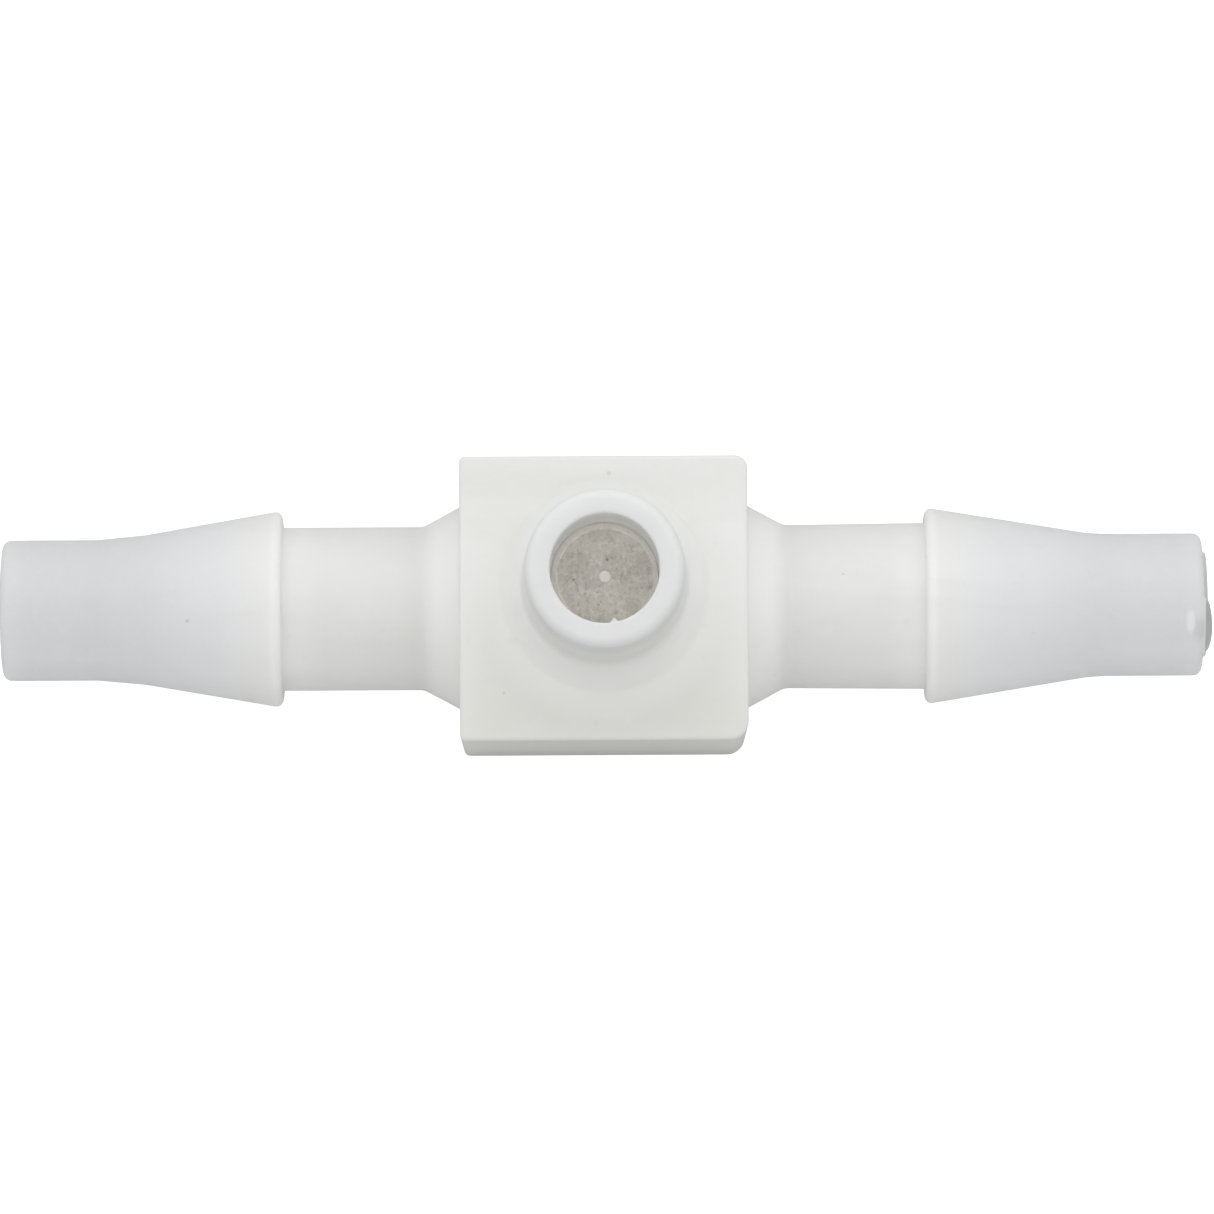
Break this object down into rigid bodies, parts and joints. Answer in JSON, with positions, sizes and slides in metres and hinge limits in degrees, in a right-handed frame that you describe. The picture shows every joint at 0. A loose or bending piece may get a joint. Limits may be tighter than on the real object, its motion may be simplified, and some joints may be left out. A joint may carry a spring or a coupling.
{
  "type": "check valve",
  "caption": "In-line check valve with two hose barbs on a square block and a plugged side arm that holds a spring-loaded poppet.",
  "frame": {"origin": "centre of the block's flat underside, the face it rests on", "axes": "+X from inlet to outlet along the two hose barbs, +Z up along the access arm, +Y across; in the picture's view +X is right and +Y is up"},
  "size_m": [0.0502, 0.0116, 0.0223],
  "materials": {
    "body_plastic": "natural milky polypropylene, slightly translucent, satin",
    "grey_plastic": "grey moulded plastic, fine speckle, matt",
    "inner_plastic": "natural fluoropolymer, satin",
    "seal_rubber": "black moulded elastomer, satin",
    "steel": "drawn stainless wire and strip"
  },
  "bodies": {
    "valve_body": {"body": "body_plastic", "plug": "grey_plastic", "plug_o_ring": "seal_rubber", "spring_retainer": "inner_plastic", "spring_washer": "steel", "spring": "steel", "seat_insert": "inner_plastic", "seat_o_ring": "seal_rubber"},
    "poppet": {"poppet": "inner_plastic", "poppet_seal": "seal_rubber"}
  },
  "joints": [
    {"name": "poppet_lift", "type": "slide", "parent": "valve_body", "child": "poppet", "axis": [0, 0, 1], "range_m": [0, 0.001], "stiffness_N_per_m": 150, "springref_m": -0.0005, "deforming": ["spring"]}
  ]
}
